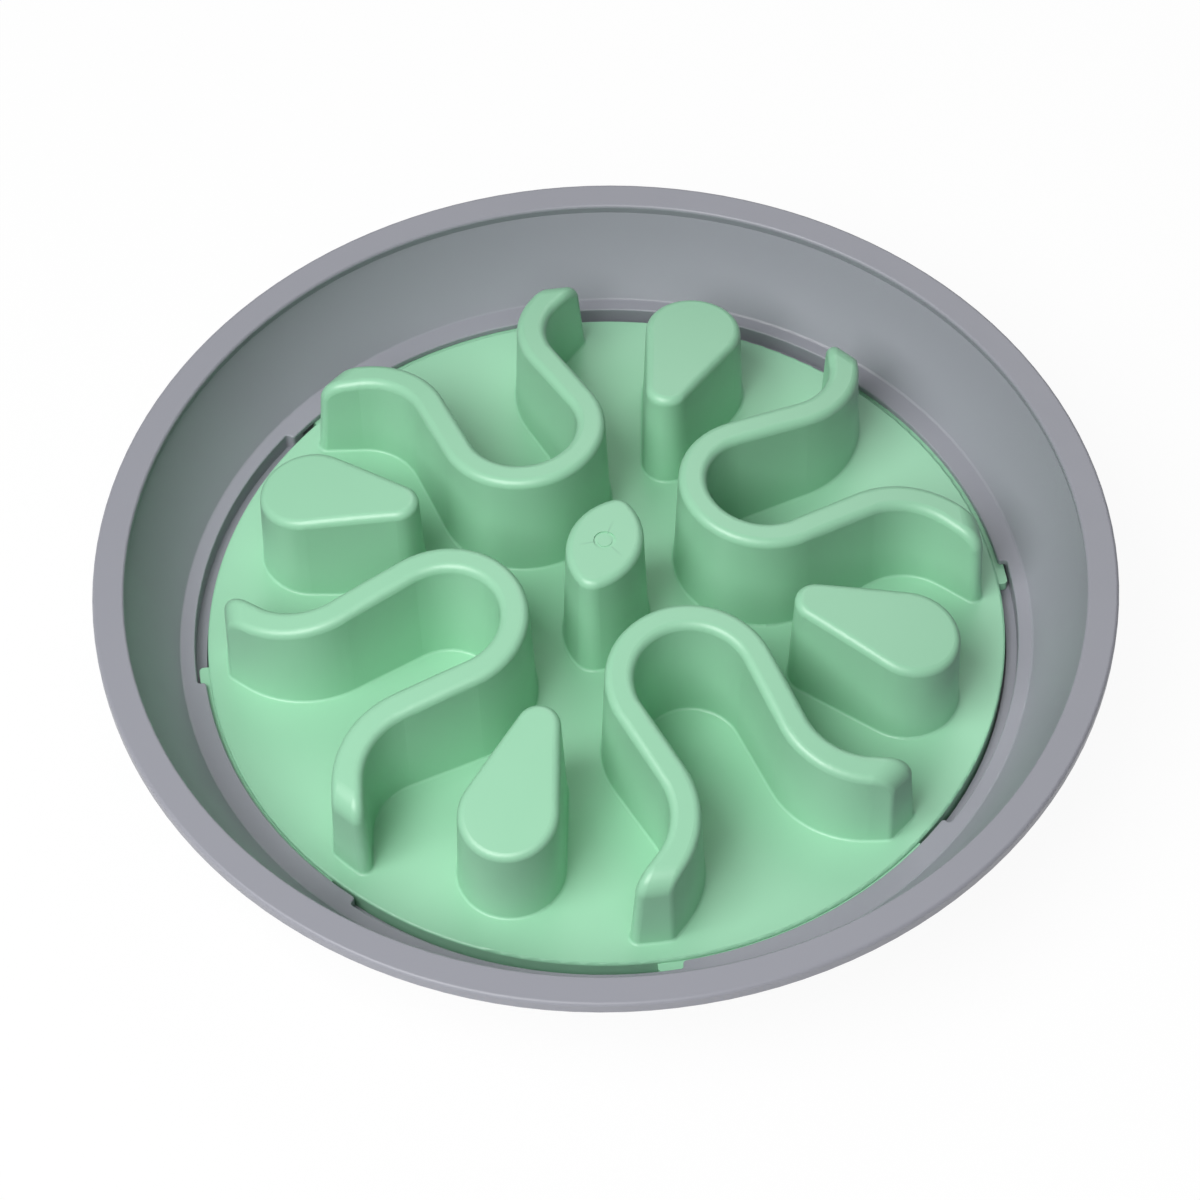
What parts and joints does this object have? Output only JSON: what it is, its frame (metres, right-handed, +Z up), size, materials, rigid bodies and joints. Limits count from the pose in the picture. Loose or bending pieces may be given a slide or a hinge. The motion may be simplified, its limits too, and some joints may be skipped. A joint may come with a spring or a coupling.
{
  "type": "slow feeder bowl",
  "caption": "Round grey pet bowl with a mint green maze insert whose domed omega walls, teardrop islands and centre post slow eating; the insert twist-locks under the ledge.",
  "frame": {"origin": "on the table under the middle of the bowl, at the bottom of the feet", "axes": "+Z up along the bowl's axis; +X and +Y through the teardrop islands, the centre post long along Y"},
  "size_m": [0.24, 0.24, 0.0506],
  "materials": {
    "bowl_grey": "satin moulded",
    "insert_green": "satin moulded",
    "foot_rubber": "matte"
  },
  "bodies": {
    "dish": {"bowl": "bowl_grey", "foot_1": "foot_rubber", "foot_2": "foot_rubber", "foot_3": "foot_rubber", "foot_4": "foot_rubber"},
    "insert": {"maze_insert": "insert_green"}
  },
  "joints": [
    {"name": "insert_twist", "type": "hinge", "parent": "dish", "child": "insert", "pos_m": [0, 0, 0.0108], "axis": [0, 0, 1], "range_deg": [-42, 2]}
  ]
}
